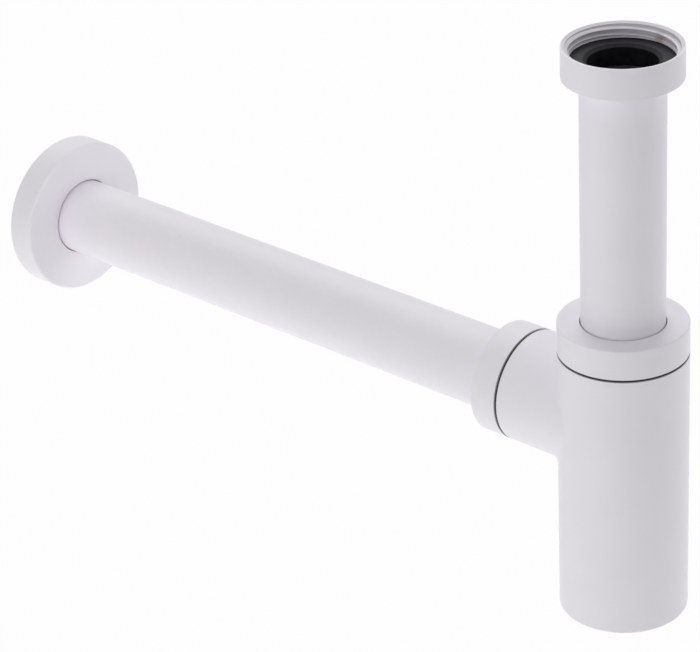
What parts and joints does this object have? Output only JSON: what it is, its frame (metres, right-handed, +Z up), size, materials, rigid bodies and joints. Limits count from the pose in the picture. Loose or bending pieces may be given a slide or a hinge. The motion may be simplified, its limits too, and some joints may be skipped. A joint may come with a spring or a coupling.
{
  "type": "washbasin bottle trap",
  "caption": "White round bottle trap for a washbasin: upright inlet tube with union nut, bottle with screwed cap, side outlet nut, level wall pipe and sliding wall flange.",
  "frame": {"origin": "on the inlet axis, in the plane where the tail of the basin waste seats on the inlet washer, inside the inlet nut", "axes": "+Z up along the inlet tube, +Y along the outlet pipe towards the wall"},
  "size_m": [0.066, 0.3308, 0.2351],
  "materials": {
    "white_coat": "matt white powder coat on brass",
    "black_rubber": "matt moulded rubber"
  },
  "bodies": {
    "inlet_nut": {"inlet_nut": "white_coat", "inlet_washer": "black_rubber"},
    "inlet_tube": {"inlet_tube": "white_coat"},
    "bottle": {"bottle_body": "white_coat"},
    "cap_gasket": {"cap_gasket": "black_rubber"},
    "top_cap": {"top_cap": "white_coat", "cap_ring_lower": "black_rubber", "cap_ring_upper": "black_rubber"},
    "outlet_gasket": {"outlet_gasket": "black_rubber"},
    "outlet_nut": {"outlet_nut": "white_coat", "outlet_ring_inner": "black_rubber", "outlet_ring_outer": "black_rubber"},
    "wall_pipe": {"wall_pipe": "white_coat"},
    "wall_flange": {"wall_flange": "white_coat", "flange_ring": "black_rubber"}
  },
  "joints": [
    {"name": "inlet_swivel", "type": "hinge", "parent": "inlet_nut", "child": "inlet_tube", "pos_m": [0, 0, 0], "axis": [0, 0, 1], "continuous": true},
    {"name": "height_slide", "type": "slide", "parent": "inlet_tube", "child": "bottle", "axis": [0, 0, 1], "range_m": [-0.02, 0.02]},
    {"name": "cap_rise", "type": "slide", "parent": "bottle", "child": "cap_gasket", "axis": [0, 0, 1], "range_m": [0, 0.008]},
    {"name": "cap_turn", "type": "hinge", "parent": "cap_gasket", "child": "top_cap", "pos_m": [0, 0, -0.1179], "axis": [0, 0, 1], "range_deg": [0, 1440]},
    {"name": "outlet_nut_travel", "type": "slide", "parent": "bottle", "child": "outlet_gasket", "axis": [0, 1, 0], "range_m": [0, 0.008]},
    {"name": "outlet_nut_turn", "type": "hinge", "parent": "outlet_gasket", "child": "outlet_nut", "pos_m": [0, 0.045, -0.14845], "axis": [0, 1, 0], "range_deg": [0, 1440]},
    {"name": "pipe_slide", "type": "slide", "parent": "bottle", "child": "wall_pipe", "axis": [0, 1, 0], "range_m": [-0.008, 0.012]},
    {"name": "flange_slide", "type": "slide", "parent": "wall_pipe", "child": "wall_flange", "axis": [0, 1, 0], "range_m": [-0.2, 0]}
  ],
  "couplings": [
    {"joint": "cap_rise", "follows": "cap_turn", "m_per_rad": 0.00031831},
    {"joint": "outlet_nut_travel", "follows": "outlet_nut_turn", "m_per_rad": 0.00031831}
  ]
}
